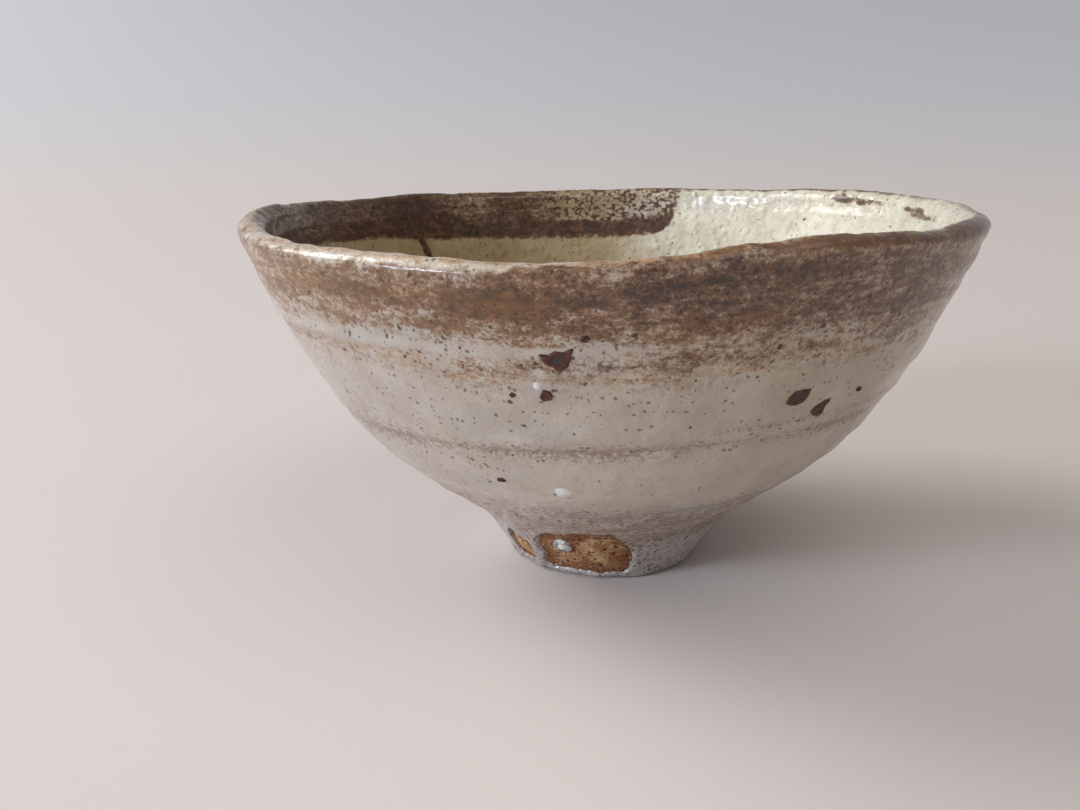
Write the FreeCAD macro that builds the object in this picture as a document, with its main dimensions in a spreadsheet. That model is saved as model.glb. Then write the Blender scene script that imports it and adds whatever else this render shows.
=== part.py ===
import FreeCAD, Part
import math
import os
import Sketcher

# A hand-thrown stoneware tea bowl. Its axis is Z, and it stands on z = 0, with the foot ring's
# centre at the origin. The side that is kept towards the guest faces -Y.
#
# The wall is drawn as a chain of stations. Each station is a point of the clay's surface, with the
# wall's slope there, so that every coat on the clay is the same chain moved out by its thickness.

V = FreeCAD.Vector

SIZES = {
    # outer clay surface: radius, height and slope above level at each station
    "root_radius": 22.3,
    "root_height": 7.5,
    "root_angle": 90.0,
    "cove_radius": 26.7,
    "cove_height": 13.0,
    "cove_angle": 38.0,
    "turn_radius": 41.1,
    "turn_height": 24.2,
    "turn_angle": 40.0,
    "belly_radius": 52.8,
    "belly_height": 39.5,
    "belly_angle": 60.5,
    "shoulder_radius": 57.6,
    "shoulder_height": 48.3,
    "shoulder_angle": 63.0,
    "lip_radius": 64.3,
    "lip_height": 63.5,
    "lip_angle": 90.0,
    # inner clay surface, from the lip down to the floor
    "inlip_radius": 61.0,
    "inlip_height": 63.5,
    "inlip_angle": 90.0,
    "inshoulder_radius": 56.5,
    "inshoulder_height": 54.3,
    "inshoulder_angle": 62.0,
    "inbelly_radius": 49.1,
    "inbelly_height": 41.6,
    "inbelly_angle": 56.0,
    "inturn_radius": 37.9,
    "inturn_height": 28.1,
    "inturn_angle": 42.0,
    "well_radius": 25.5,
    "well_height": 20.0,
    "well_angle": 28.0,
    "floor_height": 13.0,
    "floor_flat": 5.0,
    # radii of the curves between those stations
    "cove_round": 15.6,
    "belly_round": 48.0,
    "shoulder_round": 250.0,
    "lip_run_round": 250.0,
    "lip_round": 1.8,
    "inlip_run_round": 200.0,
    "inshoulder_round": 120.0,
    "inbelly_round": 72.0,
    "inturn_round": 50.0,
    "floor_round": 40.0,
    # coats
    "glaze_coat": 0.7,
    "iron_coat": 0.25,
    "pool_depth": 1.4,
    # foot ring
    "base_radius": 17.6,
    "skirt_radius": 18.6,
    "skirt_height": 1.4,
    "skirt_angle": 90.0,
    "foot_round": 22.0,
    "recess_radius": 13.4,
    "recess_top_radius": 14.6,
    "recess_edge": 0.6,
    "boss_radius": 7.0,
    "boss_height": 6.3,
    # bare windows in the foot's coat: azimuth from -Y towards +X, and half sizes
    "window_azimuth": -13.0,
    "window_height": 4.2,
    "window_across": 8.0,
    "window_tall": 3.9,
    "side_window_azimuth": -50.0,
    "side_window_height": 4.8,
    "side_window_across": 3.6,
    "side_window_tall": 2.9,
    "window_reach": 6.0,
    # inner brush band
    "band_sweep": 216.0,
    "band_start": 73.0,
    "band_end_round": 4.5,
    # specks and beads on the outer wall
    "speck_sunk": 0.4,
    "speck_proud": 0.3,
    "bead_sunk_share": 0.35,
}

# Iron specks that burst through the coat: azimuth from -Y towards +X, height, width, tallness, corners
SPOTS = (
    (-5.7, 50.9, 4.4, 3.2, 3),
    (-7.5, 45.2, 1.9, 1.8, 5),
    (-2.1, 54.1, 1.3, 1.2, 5),
    (29.8, 43.3, 3.9, 2.6, 6),
    (35.7, 40.7, 3.0, 1.9, 5),
    (43.1, 42.7, 1.2, 1.0, 5),
    (-12.2, 45.1, 1.0, 0.8, 5),
    (-19.5, 28.2, 1.7, 1.0, 6),
    (118.0, 46.0, 2.6, 1.9, 6),
    (171.0, 37.0, 3.1, 2.2, 5),
    (-104.0, 42.5, 2.2, 2.4, 6),
    (-152.0, 50.5, 1.7, 1.4, 5),
)

# Beads of thick white glaze: azimuth, height, radius
BEADS = (
    (-7.4, 26.6, 0.95),
    (-8.6, 46.7, 0.80),
    (-20.0, 5.0, 1.25),
    (142.0, 23.0, 1.10),
    (-128.0, 30.0, 0.90),
)

doc = FreeCAD.newDocument("tea_bowl")

sheet = doc.addObject("Spreadsheet::Sheet", "Sizes")
for row, (alias, value) in enumerate(SIZES.items(), start=1):
    sheet.set(f"A{row}", alias)
    sheet.set(f"B{row}", str(value))
    sheet.setAlias(f"B{row}", alias)
doc.recompute()


def size(alias):
    """A driving dimension, read back from the sheet."""
    return float(sheet.get(alias))


def station(name, depth="0"):
    """The radius and height, as expressions, of a station moved out of the clay by depth."""
    radius = f"Sizes.{name}_radius + ({depth}) * sin(Sizes.{name}_angle)"
    height = f"Sizes.{name}_height - ({depth}) * cos(Sizes.{name}_angle)"
    return radius, height


def point(radius, height):
    """A corner given by two expressions that need no offset."""
    return radius, height


def outward(alias, depth="0"):
    """A curve that bulges away from the axis, and grows with the coat outside it."""
    return 1, f"Sizes.{alias} + ({depth})"


def inward(alias, depth="0"):
    """A curve that hollows towards the axis, and tightens with the coat in it."""
    return -1, f"Sizes.{alias} - ({depth})"


STRAIGHT = (0, None)
GLAZE = "Sizes.glaze_coat"
IRON = "Sizes.glaze_coat + Sizes.iron_coat"


def origin_plane(body, role):
    """One of a body's own origin planes."""
    for feature in body.Origin.OriginFeatures:
        if feature.Role == role:
            return feature
    raise ValueError(role)


def arc_between(start, end, side, radius):
    """The lesser arc from start to end, bulging to the right of that way for side 1, else to the left.

    Also says whether the arc's own start, which is anticlockwise, is the given start."""
    chord = end - start
    right = V(chord.y, -chord.x, 0).normalize() * side
    middle = (start + end) * 0.5
    rise = math.sqrt(max(radius * radius - chord.Length**2 / 4, 0))
    centre = middle - right * rise
    angle = {}
    for key, corner in (("start", start), ("end", end)):
        angle[key] = math.atan2(corner.y - centre.y, corner.x - centre.x)
    forward = side > 0
    first, last = ("start", "end") if forward else ("end", "start")
    if angle[last] < angle[first]:
        angle[last] += 2 * math.pi
    circle = Part.Circle(centre, V(0, 0, 1), radius)
    return Part.ArcOfCircle(circle, angle[first], angle[last]), forward


def draw_outline(sketch, corners, runs):
    """Draws a closed outline whose corners and curve radii follow the sheet.

    Run i goes from corner i to the next, and the last run closes the outline."""
    places = []
    for radius, height in corners:
        places.append(V(sketch.evalExpression(radius), sketch.evalExpression(height), 0))
    count = len(corners)
    starts, ends = [], []
    for i, (side, radius) in enumerate(runs):
        here, there = places[i], places[(i + 1) % count]
        if side == 0:
            edge = sketch.addGeometry(Part.LineSegment(here, there), False)
            forward = True
        else:
            arc, forward = arc_between(here, there, side, sketch.evalExpression(radius))
            edge = sketch.addGeometry(arc, False)
        starts.append((edge, 1 if forward else 2))
        ends.append((edge, 2 if forward else 1))
    for i in range(count):
        sketch.addConstraint(Sketcher.Constraint("Coincident", *ends[i - 1], *starts[i]))
    for i, (radius, height) in enumerate(corners):
        if radius == "0":
            sketch.addConstraint(Sketcher.Constraint("PointOnObject", *starts[i], -2))
        else:
            bind(sketch, ("DistanceX", -1, 1, *starts[i]), places[i].x, f"radius_{i}", radius)
        bind(sketch, ("DistanceY", -1, 1, *starts[i]), places[i].y, f"height_{i}", height)
    for i, (side, radius) in enumerate(runs):
        if side:
            value = sketch.evalExpression(radius)
            bind(sketch, ("Radius", starts[i][0]), value, f"curve_{i}", radius)


def bind(sketch, start, value, name, expression):
    """Adds one named constraint and ties it to the sheet."""
    index = sketch.addConstraint(Sketcher.Constraint(*start, value))
    sketch.renameConstraint(index, name)
    sketch.setExpression(f"Constraints.{name}", expression)


def turned(name, corners, runs, sweep=None):
    """A body made by turning an outline about the bowl's axis."""
    body = doc.addObject("PartDesign::Body", name)
    body.Label = name
    sketch = body.newObject("Sketcher::SketchObject", f"{name}_outline")
    sketch.AttachmentSupport = [(origin_plane(body, "XZ_Plane"), "")]
    sketch.MapMode = "FlatFace"
    doc.recompute()
    draw_outline(sketch, corners, runs)
    doc.recompute()
    revolution = body.newObject("PartDesign::Revolution", f"{name}_turned")
    revolution.Profile = sketch
    revolution.ReferenceAxis = (sketch, ["V_Axis"])
    revolution.Angle = 360.0
    if sweep:
        revolution.setExpression("Angle", sweep)
    sketch.Visibility = False
    doc.recompute()
    return body


# --- the outer and inner chains, for any depth of coat ---------------------------------------------


def outer_chain(depth):
    """Corners and runs up the outer wall, from the root to the lip."""
    corners = [station(name, depth) for name in ("root", "cove", "turn", "belly", "shoulder", "lip")]
    runs = [
        inward("cove_round", depth),
        STRAIGHT,
        outward("belly_round", depth),
        outward("shoulder_round", depth),
        outward("lip_run_round", depth),
    ]
    return corners, runs


def inner_chain(depth, floor):
    """Corners and runs down the inner wall, from the lip to the centre of a small flat floor."""
    names = ("inlip", "inshoulder", "inbelly", "inturn", "well")
    corners = [station(name, f"-({depth})") for name in names]
    corners += [point("Sizes.floor_flat", floor), point("0", floor)]
    rounds = ("inlip_run_round", "inshoulder_round", "inbelly_round", "inturn_round", "floor_round")
    runs = [(1, inward(alias, depth)[1]) for alias in rounds]
    return corners, runs + [STRAIGHT]


def back_along(corners, runs):
    """The same chain, followed the other way."""
    return corners[::-1], [(-side, radius) for side, radius in runs[::-1]]


# --- clay ------------------------------------------------------------------------------------------


def make_clay_body():
    """The thrown wall, with a flat underside, a small trimming boss in it and a rounded lip."""
    up, up_runs = outer_chain("0")
    down, down_runs = inner_chain("0", "Sizes.floor_height")
    corners = [point("0", "Sizes.boss_height"), point("Sizes.boss_radius", "Sizes.root_height")]
    corners += up + down
    runs = [STRAIGHT, STRAIGHT] + up_runs + [outward("lip_round")] + down_runs + [STRAIGHT]
    return turned("clay_body", corners, runs)


def make_foot_ring():
    """The trimmed foot: a flared ring with a bevelled base edge and a recess."""
    corners = [
        point("Sizes.recess_radius", "0"),
        point("Sizes.base_radius", "0"),
        station("skirt"),
        station("root"),
        point("Sizes.recess_top_radius", "Sizes.root_height"),
    ]
    runs = [STRAIGHT, STRAIGHT, outward("foot_round"), STRAIGHT, STRAIGHT]
    body = turned("foot_ring", corners, runs)
    ring = body.Tip
    edges = []
    for number, edge in enumerate(ring.Shape.Edges, start=1):
        on_base = edge.BoundBox.ZMax < 1e-6
        if on_base and abs(edge.BoundBox.XMax - size("recess_radius")) < 1e-3:
            edges.append(f"Edge{number}")
    fillet = body.newObject("PartDesign::Fillet", "foot_ring_recess_edge")
    fillet.Base = (ring, edges)
    fillet.setExpression("Radius", "Sizes.recess_edge")
    doc.recompute()
    return body


# --- coats -----------------------------------------------------------------------------------------


def make_glaze_outside():
    up, up_runs = outer_chain("0")
    down, down_runs = back_along(*outer_chain(GLAZE))
    return turned("glaze_outside", up + down, up_runs + [STRAIGHT] + down_runs + [STRAIGHT])


def make_glaze_inside():
    down, down_runs = inner_chain("0", "Sizes.floor_height")
    up, up_runs = back_along(*inner_chain(GLAZE, "Sizes.floor_height + Sizes.pool_depth"))
    return turned("glaze_inside", down + up, down_runs + [STRAIGHT] + up_runs + [STRAIGHT])


def make_glaze_lip():
    corners = [station("lip"), station("inlip"), station("inlip", f"-({GLAZE})"), station("lip", GLAZE)]
    over_clay = outward("lip_round")
    over_coat = (-1, f"Sizes.lip_round + {GLAZE}")
    return turned("glaze_lip", corners, [over_clay, STRAIGHT, over_coat, STRAIGHT])


def make_iron_wash_outside():
    corners = [
        station("shoulder", GLAZE),
        station("lip", GLAZE),
        station("lip", IRON),
        station("shoulder", IRON),
    ]
    under = outward("lip_run_round", GLAZE)
    over = (-1, f"Sizes.lip_run_round + {IRON}")
    return turned("iron_wash_outside", corners, [under, STRAIGHT, over, STRAIGHT])


def make_iron_band_inside():
    """A brush stroke round part of the inner wall, its lower corners rounded."""
    corners = [
        station("inlip", f"-({GLAZE})"),
        station("inshoulder", f"-({GLAZE})"),
        station("inshoulder", f"-({IRON})"),
        station("inlip", f"-({IRON})"),
    ]
    side, radius = inward("inlip_run_round", GLAZE)
    under = (-side, radius)
    over = (side, f"Sizes.inlip_run_round - ({IRON})")
    body = turned("iron_band_inside", corners, [under, STRAIGHT, over, STRAIGHT], "Sizes.band_sweep")
    stroke = body.Tip
    corner_edges = []
    for number, edge in enumerate(stroke.Shape.Edges, start=1):
        across_coat = edge.Length < 2 * size("iron_coat")
        if across_coat and edge.BoundBox.ZMax < size("lip_height") - 1:
            corner_edges.append(f"Edge{number}")
    fillet = body.newObject("PartDesign::Fillet", "iron_band_inside_ends")
    fillet.Base = (stroke, corner_edges)
    fillet.setExpression("Radius", "Sizes.band_end_round")
    doc.recompute()
    body.Placement = FreeCAD.Placement(V(0, 0, 0), FreeCAD.Rotation(V(0, 0, 1), size("band_start")))
    return body


def cut_window(body, name):
    """Hollows one oval window out of the foot's coat, and makes sure that coat came away."""
    before = body.Shape.Volume
    hollow = body.newObject("PartDesign::SubtractiveEllipsoid", f"{name}_hollow")
    hollow.setExpression("Radius1", f"Sizes.{name}_tall")
    hollow.setExpression("Radius2", f"Sizes.{name}_across")
    hollow.setExpression("Radius3", "Sizes.window_reach")
    hollow.Angle1 = -90
    hollow.Angle2 = 90
    hollow.Angle3 = 360
    azimuth = size(f"{name}_azimuth")
    away = V(math.sin(math.radians(azimuth)), -math.cos(math.radians(azimuth)), 0)
    centre = away * size("root_radius") + V(0, 0, size(f"{name}_height"))
    hollow.AttachmentSupport = [(origin_plane(body, "XY_Plane"), "")]
    hollow.MapMode = "FlatFace"
    hollow.AttachmentOffset = FreeCAD.Placement(centre, FreeCAD.Rotation(V(0, 0, 1), azimuth))
    doc.recompute()
    if body.Shape.Volume > before - 1:
        raise RuntimeError(f"{name} cut nothing")


def make_glaze_foot():
    """The coat on the foot, from above the base bevel to the root, with two bare windows."""
    corners = [station("skirt"), station("root"), station("root", GLAZE), station("skirt", GLAZE)]
    under = outward("foot_round")
    over = (-1, f"Sizes.foot_round + {GLAZE}")
    body = turned("glaze_foot", corners, [under, STRAIGHT, over, STRAIGHT])
    cut_window(body, "window")
    cut_window(body, "side_window")
    return body


# --- specks and beads ------------------------------------------------------------------------------


def coated_radius(level):
    """The radius of the outermost surface at one height. Below the root that is the bare foot."""
    names = ("skirt", "root", "cove", "turn", "belly", "shoulder", "lip")
    runs = (outward("foot_round"), *outer_chain("0")[1])
    if level < size("root_height"):
        coat = "0"
    elif level < size("shoulder_height"):
        coat = GLAZE
    else:
        coat = IRON
    for low, high, (side, radius) in zip(names, names[1:], runs):
        start, end = (V(*(sheet.evalExpression(part) for part in station(name, coat)), 0) for name in (low, high))
        if start.y <= level <= end.y:
            break
    if side == 0:
        return start.x + (end.x - start.x) * (level - start.y) / (end.y - start.y)
    arc, _ = arc_between(start, end, side, sheet.evalExpression(radius))
    return arc.Center.x + side * math.sqrt(arc.Radius**2 - (level - arc.Center.y) ** 2)


def wall_place(azimuth, height):
    """A point of the outermost surface, the normal there, and the level way out from the axis."""
    around = math.radians(azimuth)
    away = V(math.sin(around), -math.cos(around), 0)
    step = 0.5
    slope = math.atan2(2 * step, coated_radius(height + step) - coated_radius(height - step))
    normal = away * math.sin(slope) - V(0, 0, 1) * math.cos(slope)
    return away * coated_radius(height) + V(0, 0, height), normal, away


def speck(azimuth, height, width, tallness, corner_count):
    """An angular plug that stands through the coat's surface. Three corners make a wedge, point down."""
    place, normal, away = wall_place(azimuth, height)
    across = V(0, 0, 1).cross(away)
    upward = normal.cross(across)
    if upward.z < 0:
        upward = -upward
    sunk, proud = size("speck_sunk"), size("speck_proud")
    outline = []
    for corner in range(corner_count):
        turn = 2 * math.pi * corner / corner_count - math.pi / 2
        offset = across * (width / 2 * math.cos(turn)) + upward * (tallness / 2 * math.sin(turn))
        outline.append(place + offset - normal * sunk)
    return Part.Face(Part.makePolygon(outline + outline[:1])).extrude(normal * (sunk + proud))


def bead(azimuth, height, radius):
    place, normal, _ = wall_place(azimuth, height)
    return Part.makeSphere(radius, place - normal * (radius * size("bead_sunk_share")))


def group_on(name, ground, solids):
    """A group of small solids, each kept only where it stands out of the wall."""

    def reach(piece):
        return math.hypot(piece.CenterOfMass.x, piece.CenterOfMass.y)

    pieces = [max(solid.cut(ground).Solids, key=reach) for solid in solids]
    group = doc.addObject("Part::Feature", name)
    group.Shape = Part.makeCompound(pieces)
    group.Label = name
    group.Placement = FreeCAD.Placement()
    return group


# --- assembly --------------------------------------------------------------------------------------


def make_parts():
    turned_parts = [
        make_clay_body(),
        make_foot_ring(),
        make_glaze_outside(),
        make_glaze_inside(),
        make_glaze_lip(),
        make_glaze_foot(),
        make_iron_wash_outside(),
        make_iron_band_inside(),
    ]
    doc.recompute()
    shapes = {part.Label: part.Shape for part in turned_parts}
    coats = [shapes["glaze_outside"], shapes["iron_wash_outside"]]
    wall = coats + [shapes["clay_body"], shapes["foot_ring"], shapes["glaze_foot"]]
    spots = group_on("iron_spots", coats, [speck(*numbers) for numbers in SPOTS])
    beads = group_on("glaze_beads", wall, [bead(*numbers) for numbers in BEADS])
    return turned_parts + [spots, beads]


def check(parts):
    """Stops if anything failed to build."""
    for obj in doc.Objects:
        if {"Invalid", "Error"} & set(obj.State):
            raise RuntimeError(f"{obj.Name} is {obj.State}")
    for part in parts:
        if part.Shape.isNull() or not part.Shape.isValid():
            raise RuntimeError(f"{part.Label} has no valid shape")


def export(parts):
    os.makedirs("parts", exist_ok=True)
    for part in parts:
        part.Shape.exportStep(f"parts/{part.Label}.step")
        box = part.Shape.BoundBox
        print(f"{part.Label}: {len(part.Shape.Solids)} solids, {part.Shape.Volume:.0f} mm3,", end=" ")
        print(f"{box.XLength:.1f} x {box.YLength:.1f} x {box.ZLength:.1f}, z from {box.ZMin:.2f}")


all_parts = make_parts()
doc.recompute()
check(all_parts)
export(all_parts)
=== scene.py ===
import math

import bpy
import numpy as np
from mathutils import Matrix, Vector


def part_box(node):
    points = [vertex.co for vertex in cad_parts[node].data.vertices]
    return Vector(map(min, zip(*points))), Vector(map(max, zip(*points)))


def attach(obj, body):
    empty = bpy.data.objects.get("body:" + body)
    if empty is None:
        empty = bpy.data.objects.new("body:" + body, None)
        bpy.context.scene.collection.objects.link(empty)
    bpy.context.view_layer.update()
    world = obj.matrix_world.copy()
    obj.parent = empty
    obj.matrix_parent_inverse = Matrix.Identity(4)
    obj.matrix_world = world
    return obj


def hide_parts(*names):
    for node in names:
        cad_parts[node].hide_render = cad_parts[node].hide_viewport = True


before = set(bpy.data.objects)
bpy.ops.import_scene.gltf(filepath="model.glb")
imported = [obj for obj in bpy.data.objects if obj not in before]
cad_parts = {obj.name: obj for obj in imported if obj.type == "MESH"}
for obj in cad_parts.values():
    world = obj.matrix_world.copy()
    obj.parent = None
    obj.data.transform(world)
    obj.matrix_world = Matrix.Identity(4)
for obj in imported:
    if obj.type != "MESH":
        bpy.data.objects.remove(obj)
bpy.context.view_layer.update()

# A hand-thrown stoneware tea bowl in a milky feldspar coat with brushed iron.
#
# The whole coated surface is one grid of points: rows along the bowl's section, from the foot's base
# edge up the outer wall, over the lip and down inside to the centre of the floor, and columns round
# the axis. Relief is added to the grid, which is then cut by rows into the pieces that show.
# Lengths are in millimetres until a mesh is made. Azimuths are in degrees from -Y towards +X.

MM = 0.001
COLUMNS = 840
CORE_COLUMNS = 300
RNG = np.random.default_rng(7)

RIM_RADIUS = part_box("glaze_lip")[1].x / MM
RIM_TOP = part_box("glaze_lip")[1].z / MM
FOOT_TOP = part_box("foot_ring")[1].z / MM
BASE_RADIUS = 18.9
LIP_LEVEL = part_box("iron_wash_outside")[1].z / MM
WASH_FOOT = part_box("iron_wash_outside")[0].z / MM


# --- noise ---


def lattice(ix, iy, iz, seed):
    """A fixed pseudo-random number from 0 to 1 for each whole-number point."""
    with np.errstate(over="ignore"):
        n = ix.astype(np.uint32) * np.uint32(374761393)
        n += iy.astype(np.uint32) * np.uint32(668265263)
        n += iz.astype(np.uint32) * np.uint32(2246822519)
        n += np.uint32(seed * 3266489917 % 2**32)
        n = (n ^ (n >> np.uint32(13))) * np.uint32(1274126177)
        n = n ^ (n >> np.uint32(16))
    return n.astype(np.float64) / 2**32


def noise(points, grain, seed):
    """Smooth noise from -1 to 1. grain is the size of its lumps in mm, one number or one per axis."""
    scaled = points / np.asarray(grain, float) + 4096.0
    whole = np.floor(scaled)
    part = scaled - whole
    ease = part**3 * (part * (part * 6 - 15) + 10)
    ix, iy, iz = (whole[..., k].astype(np.int64) for k in range(3))
    total = 0.0
    for dx in (0, 1):
        wx = ease[..., 0] if dx else 1 - ease[..., 0]
        for dy in (0, 1):
            wy = ease[..., 1] if dy else 1 - ease[..., 1]
            for dz in (0, 1):
                wz = ease[..., 2] if dz else 1 - ease[..., 2]
                total = total + wx * wy * wz * lattice(ix + dx, iy + dy, iz + dz, seed)
    return total * 2 - 1


# How much weaker each finer layer of rough noise is
OCTAVE_WEIGHT = 0.55


def rough_noise(points, grain, seed, octaves=3):
    """Noise with finer lumps on the coarse ones."""
    grain = np.asarray(grain, float)
    total, weight, reach = 0.0, 1.0, 0.0
    for octave in range(octaves):
        total = total + weight * noise(points, grain / 2**octave, seed + 17 * octave)
        reach += weight
        weight *= OCTAVE_WEIGHT
    return total / reach


def ramp(value, low, high):
    """0 below low, 1 above high, smooth between. low may be the higher, which turns it round."""
    t = np.clip((value - low) / (high - low), 0, 1)
    return t * t * (3 - 2 * t)


def turn_from(azimuth, centre):
    """Degrees from centre to azimuth, the short way round."""
    return (azimuth - centre + 180) % 360 - 180


def bump(offset, half):
    """1 at no offset, falling smoothly to 0 at about twice half."""
    return np.exp(-((offset / half) ** 2))


def circle(count):
    """Evenly spaced angles round a full turn, in radians."""
    return np.arange(count) * 2 * math.pi / count


def round_table(azimuth, entries):
    """Reads a value that is known at a few azimuths, with smooth runs between them."""
    at, value = np.array(sorted(entries), float).T
    at = np.concatenate([at - 360, at, at + 360])
    value = np.tile(value, 3)
    index = np.clip(np.searchsorted(at, azimuth, side="right") - 1, 0, len(at) - 2)
    share = ramp((azimuth - at[index]) / (at[index + 1] - at[index]), 0, 1)
    return value[index] * (1 - share) + value[index + 1] * share


# --- the section ---

# Each station: radius, height, heading of the section there in degrees above level, outwards.
FOOT_STATIONS = [
    (BASE_RADIUS - 0.4, 0.3, 45), (BASE_RADIUS + 0.5, 1.6, 68), (22.7, FOOT_TOP, 62), (27, 12.4, 38),
    (28.4, 13.5, 38),
]
LOW_STATIONS = [FOOT_STATIONS[-1], (41.55, 23.66, 40.5), (53, 38.4, 59)]
HIGH_STATIONS = [LOW_STATIONS[-1], (58.3, WASH_FOOT, 62.5), (RIM_RADIUS - 0.5, LIP_LEVEL - 1.7, 68)]
LIP_STATIONS = [
    HIGH_STATIONS[-1],
    (RIM_RADIUS, LIP_LEVEL + 0.1, 90),
    (RIM_RADIUS - 2.35, RIM_TOP, 180),
    (RIM_RADIUS - 4.65, LIP_LEVEL - 0.2, 264),
    (RIM_RADIUS - 5.5, LIP_LEVEL - 3, 248),
]
INNER_STATIONS = [LIP_STATIONS[-1], (55.9, 54.6, 243), (48.5, 42, 236)]
WELL_STATIONS = [INNER_STATIONS[-1], (37.4, 28.6, 222), (25.2, 20.6, 208), (9, 14.7, 188), (0, 14.4, 180)]

SECTIONS = {
    "foot": (FOOT_STATIONS, 0.32),
    "low": (LOW_STATIONS, 0.5),
    "high": (HIGH_STATIONS, 0.42),
    "lip": (LIP_STATIONS, 0.3),
    "inner": (INNER_STATIONS, 0.45),
    "well": (WELL_STATIONS, 0.62),
}


# Points laid on each run between two stations, before they are spaced evenly
STEPS_PER_RUN = 60


def heading(degrees):
    """A step of length 1 along a heading above level."""
    return np.array([math.cos(math.radians(degrees)), math.sin(math.radians(degrees))])


def curve_through(stations, spacing):
    """Evenly spaced (radius, height, heading) along a smooth curve through the stations."""
    dense = []
    for (r0, z0, a0), (r1, z1, a1) in zip(stations, stations[1:]):
        start, end = np.array([r0, z0]), np.array([r1, z1])
        chord = np.linalg.norm(end - start)
        leave, arrive = heading(a0) * chord, heading(a1) * chord
        t = np.linspace(0, 1, STEPS_PER_RUN)[:, None]
        dense.append(
            (2 * t**3 - 3 * t**2 + 1) * start
            + (t**3 - 2 * t**2 + t) * leave
            + (3 * t**2 - 2 * t**3) * end
            + (t**3 - t**2) * arrive
        )
    dense = np.concatenate([part[:-1] for part in dense[:-1]] + [dense[-1]])
    length = np.concatenate([[0], np.cumsum(np.linalg.norm(np.diff(dense, axis=0), axis=1))])
    count = int(round(length[-1] / spacing)) + 1
    at = np.linspace(0, length[-1], count)
    return np.stack([np.interp(at, length, dense[:, k]) for k in (0, 1)], axis=1)


def whole_section():
    """The whole section as rows of (radius, height), and where each named part starts and ends."""
    rows, spans = [], {}
    for name, (stations, spacing) in SECTIONS.items():
        part = curve_through(stations, spacing)
        first = len(rows) - 1 if rows else 0
        rows += list(part if not rows else part[1:])
        spans[name] = (first, len(rows) - 1)
    return np.array(rows), spans


SECTION, SPANS = whole_section()
LEAN = np.gradient(SECTION, axis=0)
LEAN /= np.linalg.norm(LEAN, axis=1)[:, None]
OUTWARD = np.stack([LEAN[:, 1], -LEAN[:, 0]], axis=1)
LIP_CREST = int(np.argmax(SECTION[:, 1]))

AROUND = circle(COLUMNS)
azimuth = np.degrees(AROUND)[None, :] * np.ones((len(SECTION), 1))
azimuth = (azimuth + 180) % 360 - 180
level = SECTION[:, 1][:, None] * np.ones((1, COLUMNS))
radius = SECTION[:, 0][:, None] * np.ones((1, COLUMNS))
row = np.arange(len(SECTION))[:, None] * np.ones((1, COLUMNS))
outside = ramp(row, LIP_CREST + 3, LIP_CREST - 3)
SIN, COS = np.sin(AROUND)[None, :], np.cos(AROUND)[None, :]
even = np.stack([radius * SIN, -radius * COS, level], axis=-1)
tilt = np.sin(np.radians(azimuth))


def past(centre):
    """How many degrees each point is past an azimuth."""
    return turn_from(azimuth, centre)


def by_azimuth(entries):
    """A table of azimuths and values, read at each point."""
    return round_table(azimuth, entries)


# --- relief ---

# How far the hand-thrown rim stands above or below its mean, by azimuth
RIM_WAVE = [
    (-156, -0.5), (-132, -0.45), (-119, -0.3), (-103, 0.3), (-88, 0.5), (-72, 0), (-54, -1), (-33, -1.15),
    (-12, -1.3), (0, -1), (7, -0.5), (17, 1.1), (30, 1.7), (52, 1.2), (75, 1.3), (110, 1.6), (126, 1.4),
    (148, 0.45), (165, 0), (180, -0.55),
]
WAVE_FROM, WAVE_BEND = 34, 1.3

# How far apart the turns of the thrower's spiral and of the trimming marks lie, in mm
THROWING_PITCH, TRIMMING_PITCH = 5.4, 2.3

# The trimmed foot isn't quite under the middle of the mouth
FOOT_SHIFT = 0.75

# Ridges left by the fingers: height, climb from left to right, width, rise, azimuth, spread
RIDGES = [
    (52.6, 1, 0.9, 0.34, -45, 60), (35, 2.2, 0.55, -0.3, 0, 400), (36.9, 2.2, 1.1, 0.22, 20, 400),
    (44.6, 1.5, 2.6, 0.16, 0, 400), (30.2, 1.5, 1.3, 0.18, 60, 150), (57.8, 0.5, 1.6, 0.18, 40, 90),
    (24.6, 0.6, 1, 0.14, 150, 120), (61, 0.2, 0.8, -0.12, 0, 400), (15.6, 0, 0.7, 0.2, -40, 110),
    (49, 0, 1.8, -0.2, 84, 70), (44.6, 0, 1.4, 0.28, 88, 60), (31.5, 0, 1.6, 0.25, -80, 80),
]

# Bare windows in the foot's coat: left and right azimuth, low edge, and height of the top edge by azimuth
WINDOWS = [
    (-32, 14, 1.3, [(-32, 9.4), (-18, 11), (-7, 12.1), (2.5, 12.6), (5.5, 11), (9.5, 9),
                        (13.8, 7), (90, 6.6)]),
    (-55, -39, 1.9, [(-55, 5.4), (-48, 8.6), (-40, 6.6), (90, 6.6)]),
    (134, 166, 0.8, [(134, 5), (146, 6.6), (166, 4.6)]),
]
# A spot of coat left in the front window: azimuth, height, half width in degrees, half height
ISLAND = (-19, 7.5, 5, 1.3)
BASE_CORNERS = (-166, -128, -92, -63, -38, -4, 22, 52, 83, 120, 158)


def rim_wave(around, height):
    """How far the wall is lifted at a point so that the rim waves."""
    return round_table(around, RIM_WAVE) * ramp(height, WAVE_FROM, LIP_LEVEL) ** WAVE_BEND


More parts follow.
